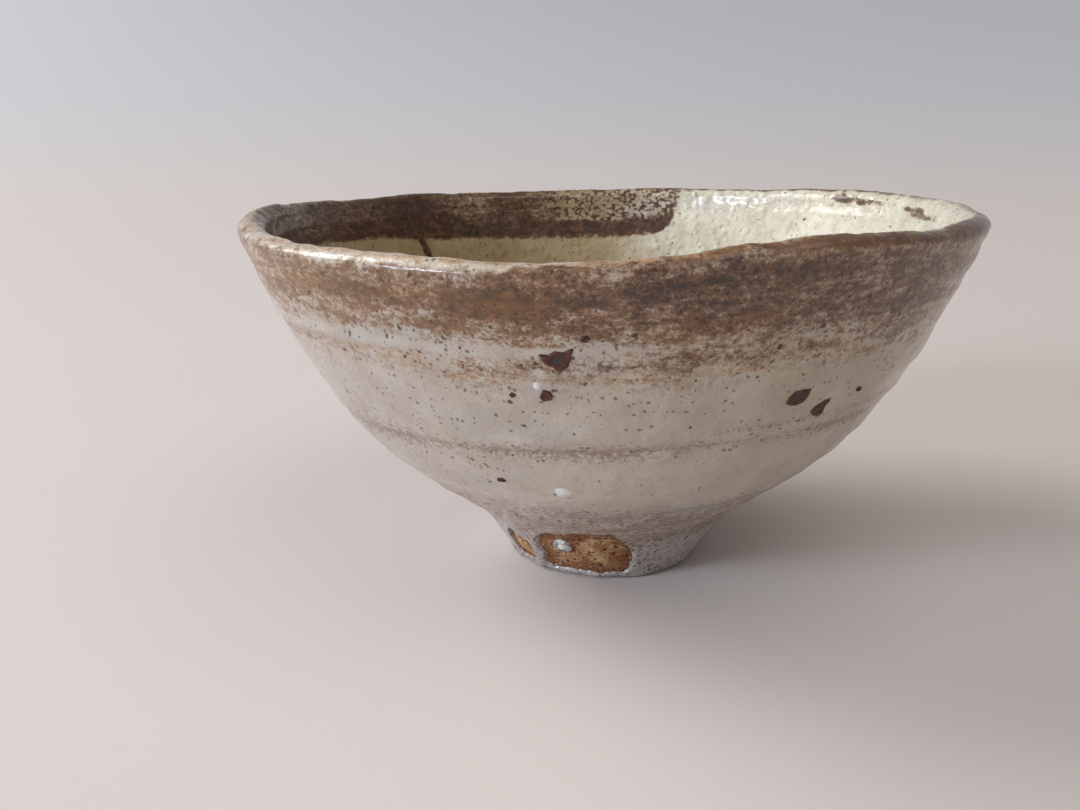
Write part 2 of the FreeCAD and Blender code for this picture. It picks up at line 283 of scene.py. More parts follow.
def throwing_relief():
    """Finger ridges, a faint spiral, and the unevenness of clay and coat, in mm along the normal."""
    relief = np.zeros_like(level)
    for height, climb, width, rise, centre, spread in RIDGES:
        place = level - (height + climb * tilt + 0.35 * noise(even, 22, 5))
        there = ramp(np.abs(past(centre)), spread / 2 + 25, spread / 2 - 25)
        relief += rise * bump(place, width) * there * outside
    spiral = np.sin(2 * math.pi * (level / THROWING_PITCH + azimuth / 360))
    relief += 0.07 * spiral * (0.6 + 0.6 * noise(even, 30, 11)) * ramp(level, 9, 14)
    relief += 0.05 * noise(even, (14, 14, 1.1), 21) * outside * ramp(level, 8, 12)
    relief += 0.26 * noise(even, 19, 31)
    relief += 0.07 * rough_noise(even, 4.2, 41, 3)
    return relief


def inner_relief():
    """The lumpy skin inside, where the coat pulled into small beads."""
    lumps = rough_noise(even, 1.7, 51, 2)
    return 0.14 * lumps + 0.16 * np.maximum(noise(even, 2.6, 53), 0) ** 2


# How square the windows' corners are, and a reach that counts as far away
SQUARENESS, FAR = 8, 9


def window_reach(around, height, points):
    """Under 1 inside the foot's bare windows and over 1 outside, with a ragged edge."""
    nearest = np.full_like(height, FAR)
    for left, right, low, tops in WINDOWS:
        across = np.abs(turn_from(around, (left + right) / 2)) / ((right - left) / 2)
        top = round_table(around, tops)
        up = np.abs(height - (top + low) / 2) / ((top - low) / 2)
        summed = np.clip(across, 0, FAR) ** SQUARENESS + np.clip(up, 0, FAR) ** SQUARENESS
        nearest = np.minimum(nearest, summed ** (1 / SQUARENESS))
    centre, middle, half, tall = ISLAND
    island = np.hypot(turn_from(around, centre) / half, (height - middle) / tall)
    nearest = np.where(island < 1.6, np.maximum(nearest, 2 - island), nearest)
    return nearest + 0.1 * rough_noise(points, 2, 61, 3)


def lumpy_hem():
    """Lumps along the low edge of the wall, where the trimming knife chattered."""
    here = ramp(level, 3, 9) * ramp(level, 25, 17) * outside
    return here * (0.3 * rough_noise(even, 2.3, 91, 2) + 0.25 * np.maximum(noise(even, 3.1, 93), 0))


def facets():
    """How far the knife-trimmed base edge is cut in between its corners."""
    corners = np.array(BASE_CORNERS, float)
    corners = np.concatenate([corners, corners[:1] + 360])
    cut = np.zeros_like(azimuth)
    for start, end in zip(corners, corners[1:]):
        middle, half = (start + end) / 2, (end - start) / 2
        inside = np.abs(past(middle)) <= half
        chord = math.cos(math.radians(half)) / np.cos(np.radians(past(middle)))
        cut = np.where(inside, np.minimum(chord - 1, 0), cut)
    return cut * BASE_RADIUS * 0.75 * ramp(level, 5.5, 0)


# How deep the foot's bare windows are cut into the coat, in mm
BARE_DEPTH = 1.15
bare = ramp(window_reach(azimuth, level, even), 1.06, 0.94) * ramp(level, 13.4, 13) * outside
relief = throwing_relief() * ramp(level, 2, 10) ** 0.5 + inner_relief() * (1 - outside)
relief += 0.05 * rough_noise(even, 1.6, 71, 2) * outside
relief += 0.16 * rough_noise(even, 5, 73, 2) * ramp(level, 10, 6) * outside
relief += lumpy_hem()
lip_thickness = 0.22 * noise(even, 9, 81) + 0.12 * noise(even, 3, 83)
relief += lip_thickness * bump(row - LIP_CREST, 11)
cut_in = facets()


def shifted(grid):
    """Moves the low part sideways, so that the foot sits a little off centre."""
    moved = grid.copy()
    moved[..., 0] += FOOT_SHIFT * ramp(grid[..., 2], 40, 8)
    return moved


def surface(along_normal):
    """Grid points for a given rise along the section's normal."""
    r = radius + OUTWARD[:, 0][:, None] * along_normal + cut_in * outside
    z = level + OUTWARD[:, 1][:, None] * along_normal + rim_wave(azimuth, level)
    r = np.maximum(r, 0)
    return shifted(np.stack([r * SIN, -r * COS, z], axis=-1))


def normals_of(grid):
    """Unit normals of a grid that closes on itself round the axis, pointing out of the coat."""
    along = np.gradient(grid, axis=0)
    ahead = np.roll(grid, -1, axis=1) - np.roll(grid, 1, axis=1)
    normal = np.cross(ahead, along)
    length = np.linalg.norm(normal, axis=-1, keepdims=True)
    normal = np.where(length > 1e-9, normal / np.maximum(length, 1e-9), (0, 0, 1))
    return normal


coat = surface(relief - BARE_DEPTH * bare)
coat_normals = normals_of(coat)


# --- what the coats look like, point by point ---

# Brush touches outside: azimuth, height, half width in degrees, half height, strength
OCHRE_TOUCHES = [
    (-31, 50, 9, 1.6, 0.9), (-76, 58.5, 9, 3.4, 0.9), (-58, 61.2, 9, 1.2, 0.8), (14, 55, 9, 1.4, 0.4),
    (52, 53, 9, 1.6, 0.4), (58, 61.5, 9, 1.2, 0.6), (-43, 50.8, 6, 1, 0.6), (-17, 47.9, 6, 0.6, 0.9),
    (-9, 47.6, 3, 0.5, 0.5), (3, 48.2, 8, 0.8, 0.5), (17.5, 48.5, 5, 0.6, 1), (32, 49.8, 7, 0.7, 0.8),
    (-55, 54.5, 6, 1.6, 0.6), (-66, 59, 9, 3, 0.8), (-46, 60, 9, 1.6, 0.8), (-11, 59.6, 4, 0.8, 0.9),
    (24, 46.8, 6, 0.5, 0.3), (76, 61, 9, 2.2, 0.7), (-5, 45.4, 4, 0.5, 0.3), (42, 47.6, 6, 0.6, 0.4),
    (-24, 60.8, 5, 0.9, 0.6), (88, 58.5, 6, 1.4, 0.4), (-36, 57, 6, 0.9, 0.5),
]
BROWN_TOUCHES = [
    (-14, 59.6, 8, 2.2, 1.4), (-2, 60.5, 10, 1.4, 0.8), (1, 50, 6, 0.9, 0.5), (70, 58, 12, 3, 0.5),
    (6, 61.6, 9, 0.7, 0.8), (-2, 56.4, 9, 1.6, 0.4), (12, 56.5, 14, 3.4, 0.35), (22, 61, 9, 1.4, 0.5),
    (-33, 60.2, 9, 1.8, 1), (45, 55, 12, 2.6, 0.25), (66, 50.6, 9, 2.4, 0.45), (-48, 58.6, 7, 1.6, 0.5),
    (-36, 55.6, 8, 0.9, 0.3), (-22, 56.4, 6, 1.3, 0.3), (24, 50.2, 8, 1, 0.3), (40, 60.8, 10, 1.6, 0.35),
    (-66, 61, 8, 1.6, 0.5),
]
MILKY_TOUCHES = [
    (-2, 50.6, 4, 2, 0.9), (-14, 62.2, 4, 1.5, 0.8), (1, 61.6, 3, 1.3, 0.9), (8, 60.6, 3, 1.5, 0.6),
    (-8, 46.8, 3, 1.2, 0.8), (-24, 58.6, 4, 1.5, 0.6), (14, 59.6, 3, 1.4, 0.3), (-5, 58.6, 3, 1.4, 0.5),
    (-26, 54.6, 7, 0.8, 0.7), (-18, 55.4, 5, 0.9, 0.4), (-35, 52.6, 5, 0.6, 0.5), (-44, 9.3, 8, 1.9, 1),
    (0, 53.8, 5, 0.9, 0.5), (20, 49.6, 5, 0.8, 0.4), (-28, 61.2, 9, 0.9, 0.9), (26, 55, 5, 1.6, 0.4),
    (-60, 53, 9, 0.9, 0.5), (-10, 9.6, 12, 1, 0.35),
]


def unseen_touches(count, low, high, strength):
    """The same kind of touches on the side of the wall away from the front."""
    touches = []
    for _ in range(count):
        centre = RNG.uniform(95, 275)
        centre = centre - 360 if centre > 180 else centre
        size = (RNG.uniform(4, 11), RNG.uniform(0.6, 2))
        touches.append((centre, RNG.uniform(low, high), *size, strength * RNG.uniform(0.5, 1.1)))
    return touches


def touched(touches, ragged):
    """How strongly a list of brush touches covers each point."""
    cover = np.zeros_like(level)
    for centre, height, half, tall, strength in touches:
        reach = np.hypot(past(centre) / half, (level - height) / tall)
        cover = np.maximum(cover, strength * ramp(reach + ragged, 1.6, 0.2))
    return cover


streaks = rough_noise(even, (13, 13, 1.3), 101, 3)
clouds = rough_noise(even, 9, 103, 3)
broad = noise(even, 26, 105)
fine = noise(even, 1.8, 107)

# Film strength of the wash by height at the front, and how much more or less there is round the bowl
WASH_BY_LEVEL = (
    (46, 0), (48, 0.16), (50.5, 0.34), (52.8, 0.32), (55.5, 0.52), (58.5, 0.56), (61, 0.62), (64, 0.6),
)
WASH_ROUND = [
    (-90, 0), (-62, -0.12), (-35, -0.13), (-8, -0.02), (14, 0.05), (30, -0.01), (50, -0.04), (68, -0.18),
    (92, -0.06), (135, 0.1), (180, -0.06), (-135, 0.08),
]


def iron_outside():
    """How thick a film of iron the brushed wash leaves under the lip."""
    shifted_level = level - 1.1 * noise(even, 15, 111) - 0.5 * streaks
    strength = np.interp(shifted_level, *zip(*WASH_BY_LEVEL))
    there = ramp(shifted_level, 46, 51)
    strength += there * (by_azimuth(WASH_ROUND) + 0.2 * streaks + 0.16 * clouds)
    pale_ridge = bump(level - 52.9 - tilt, 0.9) * ramp(np.abs(past(-45)), 75, 25)
    strength -= 0.34 * pale_ridge
    strength += 0.38 * touched(BROWN_TOUCHES + unseen_touches(14, 50, 61, 0.6), 0.3 * streaks) * there
    return np.clip(strength, 0, 1) * outside


def ochre_outside():
    """Where the iron burnt to ochre at the edges of a brush mark."""
    cover = touched(OCHRE_TOUCHES + unseen_touches(12, 46.5, 60, 0.8), 0.35 * streaks + 0.2 * clouds)
    return np.clip(cover, 0, 1) * outside


# Iron brushed along the lip by azimuth: how strong, how far down outside, how far down inside, in mm
LIP_STRENGTH = [
    (-98, 0.6), (-88, 0.5), (-76, 0.38), (-62, 0.12), (-50, 0), (-36, 0), (-20, 0.05), (-4, 0.16), (8, 0.5),
    (16, 0.8), (30, 0.95), (62, 0.95), (76, 0.7), (88, 0.25), (100, 0.45), (118, 0.75), (150, 0.8),
    (180, 0.85), (-160, 0.85), (-130, 0.8), (-110, 0.6),
]
LIP_OUTER = [(-90, 1.5), (-30, 1), (0, 1), (16, 1.5), (30, 3), (70, 3.2), (95, 1.6), (140, 2.6), (-140, 2.8)]
LIP_INNER = [
    (-90, 1.6), (-60, 0.2), (-30, 0.1), (40, 0.1), (80, 0.3), (110, 0.9), (150, 1), (180, 1.4), (-130, 1.6),
]
LIP_OCHRE = [
    (-80, 0.8), (-55, 0.65), (-36, 0.6), (-24, 0.7), (-8, 0.85), (8, 1), (20, 0.85), (35, 0.5), (60, 0.35),
    (80, 0.6), (110, 0.3), (180, 0.4), (-120, 0.3),
]
along_section = np.concatenate([[0], np.cumsum(np.linalg.norm(np.diff(SECTION, axis=0), axis=1))])
past_crest = (along_section - along_section[LIP_CREST])[:, None] * np.ones((1, COLUMNS))


def on_lip(softness):
    """1 on the lip's painted edge, whose width changes round the bowl."""
    outer, inner = by_azimuth(LIP_OUTER), by_azimuth(LIP_INNER)
    place = past_crest + (0.35 * streaks + 0.5 * fine)
    return ramp(place, -outer - softness, -outer + 0.3) * ramp(place, inner + softness, inner - 0.3)


# The lip's pale roll by azimuth: how much there is, and where its outer edge lies in mm past the crest
CREAM_ROUND = [
    (-100, 0), (-84, 0), (-74, 0.25), (-60, 0.9), (-34, 1), (-12, 0.85), (2, 0.6), (14, 0.15), (30, 0),
    (72, 0), (88, 0.6), (104, 0.2), (120, 0),
]
CREAM_EDGE = [(-90, -0.7), (-66, -1.1), (-46, -1.7), (-14, -1.9), (0, -0.9), (16, -0.2), (90, -0.8)]


def lip_cream():
    """The thick pale roll of the coat along the lip, from the far left to the front."""
    outer = by_azimuth(CREAM_EDGE)
    place = past_crest + (0.8 * fine + 0.7 * streaks)
    return by_azimuth(CREAM_ROUND) * ramp(place, outer - 0.6, outer + 0.5) * ramp(place, 3, 1.6)


BAND_START, BAND_SWEEP = 163, 150
BAND_FOOT = [(165, 54.6), (-165, 54.7), (-140, 55.2), (-115, 57), (-90, 57.5), (-60, 56.5), (0, 54.6)]
BAND_CORNER = 7
# Film strength of the band by height at the back, where its lower half is one dark stripe
BAND_BY_LEVEL = (
    (53, 0.85), (55.2, 0.9), (56.4, 1.1), (57.6, 1.05), (58.8, 0.84), (60.2, 0.86), (61.6, 0.68),
    (63.5, 0.74),
)
DRIP = (-133.2, 50.4, 1.25)


def brush_inside():
    """A broad brush stroke round the far and left inner wall, with a rounded end and one long drip."""
    degree = radius * math.pi / 180
    behind = past(BAND_START) % 360
    sag = np.clip(by_azimuth(BAND_FOOT) + BAND_CORNER - level, 0, BAND_CORNER)
    pulled = BAND_CORNER - np.sqrt(BAND_CORNER**2 - sag**2)
    edge = 0.45 * fine + 0.3 * noise(even, 0.8, 123)
    begins = ramp(behind * degree - pulled + edge, -0.2, 0.9)
    ends = ramp(behind, BAND_SWEEP, BAND_SWEEP - 22)
    foot = by_azimuth(BAND_FOOT) + 0.4 * noise(even, 14, 125)
    cover = begins * ends * ramp(level + 0.5 * streaks + 0.35 * edge, foot - 0.8, foot + 0.7)
    strength = np.interp(level + 0.5 * streaks, *zip(*BAND_BY_LEVEL))
    strength += 0.14 * rough_noise(even, (16, 16, 0.9), 127, 3) + 0.12 * clouds
    strength -= 0.15 * bump(past(-98), 12)
    strength += 0.25 * bump(past(-134), 7) + 0.18 * bump(past(BAND_START + 3), 3)
    centre, low, half = DRIP
    run = centre + 0.17 * (level - 52.5) + 0.5 * noise(even, (400, 400, 5), 129)
    sway = past(run) * degree / (1 + 1.2 * ramp(level, 56.5, 61))
    drip = ramp(np.abs(sway) + 0.3 * edge, half, half * 0.35) * ramp(level, low, low + 0.8)
    drip = drip * ramp(level, 62, 60)
    return np.clip(np.maximum(cover * strength, 0.95 * drip), 0, 1) * (1 - outside)


def gaps_inside():
    """Where the brushed band lets beads of the pale coat through."""
    upper = ramp(level, 57, 59.5)
    back = ramp(np.abs(past(178)), 24, 8)
    left = 0.45 * bump(past(-148), 7) + 0.2 * bump(past(-118), 9)
    return np.clip(upper * np.maximum(back, left) + 0.25 * ramp(clouds, 0.1, 0.5), 0, 1) * (1 - outside)


INNER_TOUCHES = [
    (124, 63.6, 5, 0.6, 0.8), (117, 63.2, 3, 0.5, 0.7), (104, 62.9, 4, 0.35, 0.7), (97, 62, 4, 0.35, 0.6),
]


def rim_touches_inside():
    """Brown touches near the lip on the bright side."""
    return touched(INNER_TOUCHES, 0.6 * clouds + 0.5 * fine) * (1 - outside)


RING_LEVEL, RING_CLIMB = 35.3, 2.2
above_ring = level - RING_LEVEL - RING_CLIMB * tilt


def rose_outside():
    """The purple-brown ring on the wall and the darker band above the foot."""
    ring_place = above_ring + 0.3 * streaks
    ring = 0.22 * bump(ring_place, 0.6) + 0.52 * bump(ring_place + 0.1, 1.7)
    ring *= 0.8 + 0.5 * noise(even, 12, 131)
    second = 0.3 * bump(ring_place - 2.6, 0.5) * ramp(past(12), -5, 10)
    low_band = ramp(level + 1.2 * broad + 0.8 * streaks, 24, 18.5) * (0.5 + 0.35 * streaks + 0.25 * clouds)
    low_band *= 1 - 0.45 * ramp(level, 11, 7.5)
    under_wash = 0.28 * ramp(level, 42, 48) * (0.6 + clouds)
    left_haze = 0.22 * bump(past(-52), 20) * ramp(level, 46, 38)
    return np.clip(ring + second + low_band + under_wash + left_haze, 0, 1) * outside


def milky():
    """Where the coat is thick it turns a milky blue-grey."""
    cover = touched(MILKY_TOUCHES, 0.4 * clouds)
    cover = np.maximum(cover, 0.5 * ramp(rough_noise(even, 6.5, 141, 2), 0.2, 0.6))
    foot = ramp(level, 10, 8) * (0.8 + 0.4 * clouds)
    inside = 0.9 * bump(past(-97), 12) * ramp(level, 55, 60)
    inside += 0.9 * bump(np.hypot(past(172) / 3, (level - 60.2) / 1.4), 1)
    return np.clip((cover + foot) * outside + inside * (1 - outside), 0, 1)


def speck_density():
    """How thickly fine iron specks lie, from 0 to 1.4."""
    trail = bump(past(-25 + (level - 50) * 0.45), 1.6) * ramp(level, 30, 36) * ramp(level, 52, 46)
    cluster = 0.5 * bump(past(-4), 12) * bump(level - 45.4, 2)
    low = 1.1 * ramp(level + 1.5 * broad, 24, 18)
    wash = 0.45 * ramp(level, 46, 52)
    quiet = 0.12 * ramp(level, 36, 32) * ramp(level, 20, 24)
    on_ring = 0.35 * bump(above_ring, 1.2)
    lively = 0.3 + low + wash + 0.6 * trail + cluster + on_ring - quiet + 0.2 * broad
    return np.clip(lively * outside + 0.12 * (1 - outside), 0, 1.4)


def olive_and_shade_inside():
    """The far and left inside: an olive tint where iron bled down, and painted shade, as this inner wall faces
    away from the key light.
    """
    centre = past(-128)
    return ramp(np.abs(centre), 76, 46) * (1 - outside) * (1 - 0.5 * ramp(level, 36, 22))


cream = lip_cream()
lip_iron = on_lip(0.5) * by_azimuth(LIP_STRENGTH) * (0.9 + 0.3 * clouds)
iron = [iron_outside() * (1 - cream), lip_iron, brush_inside() * (1 - cream), rim_touches_inside()]
ATTRIBUTES = {
    "iron": np.clip(np.maximum.reduce(iron), 0, 1),
    "ochre": np.clip(np.maximum(ochre_outside(), on_lip(0.8) * by_azimuth(LIP_OCHRE)), 0, 1),
    "cream": np.clip(cream, 0, 1),
    "gaps": gaps_inside(),
    "rose": rose_outside() * (1 - cream),
    "milk": milky(),
    "specks": speck_density() * (1 - 0.8 * cream),
    # olive tint with painted shade on the far and left inner wall
    "olive_and_shade": olive_and_shade_inside(),
    "warm": ramp(azimuth + 12 * broad, -45, 45) * ramp(np.abs(azimuth), 175, 120) * outside,
    "inside": 1 - outside,
    "foot": ramp(level + 1.2 * clouds, 13, 9.5) * outside,
}


# --- meshes ---


def new_mesh(name, points, faces, normals=None, values=None):
    """A mesh object from millimetre points, with its own normals and point values where given."""
    mesh = bpy.data.meshes.new(name)
    mesh.from_pydata((np.asarray(points) * MM).tolist(), [], faces)
    mesh.shade_smooth()
    for key, value in (values or {}).items():
        attribute = mesh.attributes.new(key, "FLOAT", "POINT")
        attribute.data.foreach_set("value", np.asarray(value, np.float32))
    if normals is not None:
        mesh.normals_split_custom_set_from_vertices(np.asarray(normals).tolist())
    mesh.update()
    made = bpy.data.objects.new(name, mesh)
    bpy.context.scene.collection.objects.link(made)
    return made


def ring_faces(rings, columns, first=0, turned=False):
    """Quads between each ring of points and the next, closed round the axis, from a first point's number."""
    here = np.arange(columns)
    there = (here + 1) % columns
    starts = first + np.arange(rings - 1)[:, None] * columns
    quads = [starts + here, starts + there, starts + columns + there, starts + columns + here]
    if turned:
        quads = quads[:1] + quads[:0:-1]
    return np.stack(quads, axis=-1).reshape(-1, 4).tolist()


def closing_faces(rings, columns):
    """Quads that join the last ring to the first."""
    here = np.arange(columns)
    there = (here + 1) % columns
    last = (rings - 1) * columns
    return np.stack([last + here, last + there, there, here], axis=1).tolist()


def fan(start, columns, pole, turned=False):
    """Triangles from a ring, whose first point has a given number, to a pole."""
    faces = []
    for column in range(columns):
        here, there = start + column, start + (column + 1) % columns
        faces.append([there, here, pole] if turned else [here, there, pole])
    return faces


# Rows on the hidden back of a piece of coat, and on that of the well, which is the largest
BACK_ROWS, WELL_BACK_ROWS = 7, 12


def coat_piece(name, span, thickness):
    """A closed piece of the coat on one part of the section: the seen skin, and a back sunk by thickness.

    The well's last row is the axis, where skin and back each shrink to a point."""
    first, last = SPANS[span]
    closes = span == "well"
    body_rows = WELL_BACK_ROWS if closes else BACK_ROWS
    seen = coat[first:last + 1]
    seen_normals = coat_normals[first:last + 1]
    values = {key: value[first:last + 1] for key, value in ATTRIBUTES.items()}
    back_rows = np.unique(np.linspace(last, first, body_rows).astype(int))[::-1]
    sunk = surface(np.full_like(level, -thickness))[back_rows]
    back_normals = -coat_normals[back_rows]
    if closes:
        seen, seen_normals = seen[:-1], seen_normals[:-1]
        values = {key: value[:-1] for key, value in values.items()}
        sunk, back_normals, back_rows = sunk[1:], back_normals[1:], back_rows[1:]
    points = np.concatenate([seen, sunk]).reshape(-1, 3)
    normals = np.concatenate([seen_normals, back_normals]).reshape(-1, 3)
    flat = {k: np.concatenate([v, ATTRIBUTES[k][back_rows]]).ravel() for k, v in values.items()}
    count = len(seen) + len(sunk)
    faces = ring_faces(count, COLUMNS) + closing_faces(count, COLUMNS)
    if closes:
        edge = len(seen) - 1
        del faces[edge * COLUMNS:(edge + 1) * COLUMNS]
        top, bottom = len(points), len(points) + 1
        points = np.concatenate([points, [coat[last].mean(0)], [coat[last].mean(0) - (0, 0, thickness)]])
        normals = np.concatenate([normals, [(0, 0, 1)], [(0, 0, -1)]])
        flat = {k: np.append(v, [ATTRIBUTES[k][last].mean()] * 2) for k, v in flat.items()}
        faces += fan(edge * COLUMNS, COLUMNS, top) + fan((edge + 1) * COLUMNS, COLUMNS, bottom, turned=True)
    return new_mesh(name, points, faces, normals, flat)


def turned_piece(name, section, columns, shape, paint_values):
    """A closed piece turned from a closed section that may start and end on the axis."""
    turn = circle(columns)
    section = np.asarray(section, float)
    on_axis = section[:, 0] < 1e-6
    ring_rows = section[~on_axis]
    reach, height = ring_rows[:, :1], ring_rows[:, 1:]
    grid = shape(np.stack([reach * np.sin(turn), -reach * np.cos(turn), height * np.ones(columns)], axis=-1))
    values = {key: value.ravel() for key, value in paint_values(grid).items()}
    points = grid.reshape(-1, 3)
    faces = ring_faces(len(ring_rows), columns)
    if not on_axis.any():
        faces += closing_faces(len(ring_rows), columns)
    else:
        last = (len(ring_rows) - 1) * columns
        start_pole, end_pole = len(points), len(points) + 1
        ends = shifted(np.array([[0, 0, section[0, 1]], [0, 0, section[-1, 1]]]))
        points = np.concatenate([points, ends])
        values = {key: np.append(value, [0, 0]) for key, value in values.items()}
        faces += fan(0, columns, start_pole, turned=True) + fan(last, columns, end_pole)
    return new_mesh(name, points, faces, None, values)


def lifted(grid):
    """Moves core points with the rim's wave and the foot's shift, so that the core stays under the coats."""
    around = np.degrees(np.arctan2(grid[..., 0], -grid[..., 1]))
    moved = grid.copy()
    moved[..., 2] += rim_wave(around, grid[..., 2])
    reach = np.hypot(grid[..., 0], grid[..., 1])
    trimming = 0.1 * np.sin(2 * math.pi * (reach / TRIMMING_PITCH + around / 360)) * ramp(grid[..., 2], 8.2, 7.8)
    trimming = trimming * ramp(reach, 2, 4) * ramp(reach, 17, 14)
    moved[..., 2] += trimming
    return shifted(moved)


# How far under the coat's skin the core lies, in mm
CORE_UNDER_SKIN = 1.15


def core_values(grid):
    """Scorch in patches, and no dust."""
    scorch = 0.25 + 0.5 * np.clip(rough_noise(grid, 5, 161, 2), 0, 1)
    return {"scorch": scorch, "dusty": np.zeros_like(scorch)}


def clay_core():
    """The thrown body under the coats. Only its underside shows, inside the foot, with a small boss."""
    under = [(0, 6.3), (1.5, 6.32), (3, 6.5), (4.5, 6.85), (6, 7.25), (7, 7.45)]
    under += [(x, 7.5) for x in np.arange(7.5, 16.1, 0.5)] + [(21.5, 7.6)]
    sunk = SECTION - OUTWARD * CORE_UNDER_SKIN
    wall = sunk[SPANS["low"][0] + 3:SPANS["well"][1]:5]
    floor = [(0, sunk[-1, 1])]
    return turned_piece("clay_core", under + wall.tolist() + floor, CORE_COLUMNS, lifted, core_values)


# How far under the coat's skin the foot's bare clay lies, in mm
CLAY_UNDER_COAT = 0.45


def foot_grit(grid):
    """The trimmed ring's surface: facets at the base edge, sandy grain, and the foot's shift."""
    reach = np.hypot(grid[..., 0], grid[..., 1])
    at_base = max(ramp(SECTION[0, 1], 5.5, 0), 0.1)
    cut = cut_in[:1] * ramp(grid[..., 2], 5.5, 0) * ramp(reach, 14.5, 17.5) / at_base
    grit = 0.12 * rough_noise(grid, 0.9, 151, 2) + 0.14 * noise(grid, 2.6, 153)
    free = ramp(grid[..., 2], 0, 0.8)
    away = np.stack([grid[..., 0], grid[..., 1], 0 * reach], axis=-1) / reach[..., None]
    return shifted(grid + away * (grit * free + cut)[..., None])


def foot_values(grid):
    """Scorch near the coat's edge, and dust where the foot stands."""
    around = np.degrees(np.arctan2(grid[..., 0] - FOOT_SHIFT, -grid[..., 1]))
    near_edge = ramp(window_reach(around, grid[..., 2], grid), 0.35, 0.95)
    near_edge = near_edge * ramp(grid[..., 2], 0.3, 1.5)
    dusty = ramp(grid[..., 2] + 0.35 * rough_noise(grid, 1.2, 163, 2), 1, 0.35) * 0.85
    return {"scorch": 0.85 * near_edge, "dusty": dusty}


def foot_clay():
    """The trimmed ring: gritty outer face, base with a knife bevel, recess with turning marks."""
    rows = slice(SPANS["foot"][0], SPANS["foot"][1] + 1)
    foot = SECTION[rows] - OUTWARD[rows] * CLAY_UNDER_COAT
    base = [(x, 0) for x in np.arange(BASE_RADIUS - 1.3, 14.1, -0.35)]
    recess = [(13.7, 0.15), (13.45, 0.5), (13.5, 1.4), (13.6, 2.4), (13.75, 3.4), (13.9, 4.4), (14.1, 5.4)]
    recess += [(14.35, 6.4), (14.6, 7.2), (15.2, 7.7)]
    inner_face = [(21.5, 8.8), (24, 11), (26.5, 12.9)]
    section = np.concatenate([foot[::-1], [(BASE_RADIUS - 0.95, 0.08)], base, recess, inner_face])
    return turned_piece("foot_clay", section[::-1], COLUMNS, foot_grit, foot_values)


# --- chips and drops on the wall ---

# Outlines of the three largest chips, in mm across and up from the middle
SHIELD = [
    (-2.4, 1.1), (-1.1, 0.95), (-0.2, 1.6), (0.9, 1.4), (2.4, 2.3), (1.8, 0.4), (1.55, -1), (0.3, -2.3),
    (-0.6, -1.2), (-1.7, -0.7),
]
FLAKE = [
    (-1.8, 0.2), (-1.3, 1.3), (0, 1.5), (1.5, 1.5), (1.7, 0.2), (1.3, -1), (0.1, -1.6), (-1, -1.4),
    (-1.8, -1),
]
SMALL_FLAKE = [
    (-1.55, -0.53), (-1, 0.35), (0.2, 1.35), (1.35, 1.55), (0.95, 0.4), (1.25, -1.15), (0.2, -1.65),
    (-0.9, -1.2),
]
# Each chip: azimuth, height, and an outline or its width and tallness
CHIPS = [
    (-5.7, 50.9, SHIELD), (29.8, 43.3, FLAKE), (35.7, 40.7, SMALL_FLAKE), (-7.5, 45.2, (2, 2.3)),
    (-2.1, 54.1, (1.3, 1.2)), (43.1, 42.7, (1.2, 1)), (-12.2, 45.1, (1, 0.8)), (-19.5, 28.2, (1.7, 1)),
    (118, 46, (2.6, 1.9)), (171, 37, (3.1, 2.2)), (-104, 42.5, (2.2, 2.4)), (-152, 50.5, (1.7, 1.4)),
]
# Each drop: azimuth, height, radius
DROPS = [(-7.6, 26.5, 1.75), (-8.6, 46.7, 0.8), (-19, 7.5, 1.05), (142, 23, 1.1), (-128, 30, 0.9)]
PATCH_SIDES, PATCH_RING_COUNT = 88, 9
PATCH_ANGLES = circle(PATCH_SIDES)
PATCH_RINGS = np.linspace(0, 1, PATCH_RING_COUNT + 1)[1:]


def sampled(grid, rows, columns):
    """Reads a grid between its points."""
    low_row = np.clip(np.floor(rows).astype(int), 0, len(SECTION) - 2)
    low_column = np.floor(columns).astype(int)
    a, b = (rows - low_row)[..., None], (columns - low_column)[..., None]
    left, right = low_column % COLUMNS, (low_column + 1) % COLUMNS
    below = grid[low_row, left] * (1 - b) + grid[low_row, right] * b
    above = grid[low_row + 1, left] * (1 - b) + grid[low_row + 1, right] * b
    return below * (1 - a) + above * a


def on_wall(at, height, across, up, proud):
    """Points on the outer wall, across and up in mm from a spot, and proud of the coat by a little."""
    rows_outside = np.arange(LIP_CREST)
    column = (at % 360) / 360 * COLUMNS
    spot_row = np.interp(height, coat[:LIP_CREST, int(round(column)) % COLUMNS, 2], rows_outside)
    rows = np.interp(np.interp(spot_row, rows_outside, along_section[:LIP_CREST]) + up,
                     along_section[:LIP_CREST], rows_outside)
    spot_radius = np.interp(spot_row, rows_outside, SECTION[:LIP_CREST, 0])
    columns = column + across / spot_radius / (2 * math.pi) * COLUMNS
    return sampled(coat, rows, columns) + sampled(coat_normals, rows, columns) * np.asarray(proud)[..., None]


def outline_reach(corners):
    """How far a polygon round the middle reaches at each patch angle, with its corners a little softened."""
    corners = np.array(corners, float)
    reach = np.full(len(PATCH_ANGLES), 0.2)
    ray = np.stack([np.cos(PATCH_ANGLES), np.sin(PATCH_ANGLES)], axis=1)
    for start, end in zip(corners, np.roll(corners, -1, axis=0)):
        edge = end - start
        cross = ray[:, 0] * edge[1] - ray[:, 1] * edge[0]
        cross = np.where(np.abs(cross) < 1e-9, 1e-9, cross)
        distance = (start[0] * edge[1] - start[1] * edge[0]) / cross
        share = (start[0] * ray[:, 1] - start[1] * ray[:, 0]) / cross
        hit = (distance > 0) & (share >= 0) & (share <= 1)
        reach = np.where(hit, np.maximum(reach, distance), reach)
    return 0.2 * np.roll(reach, 1) + 0.6 * reach + 0.2 * np.roll(reach, -1)


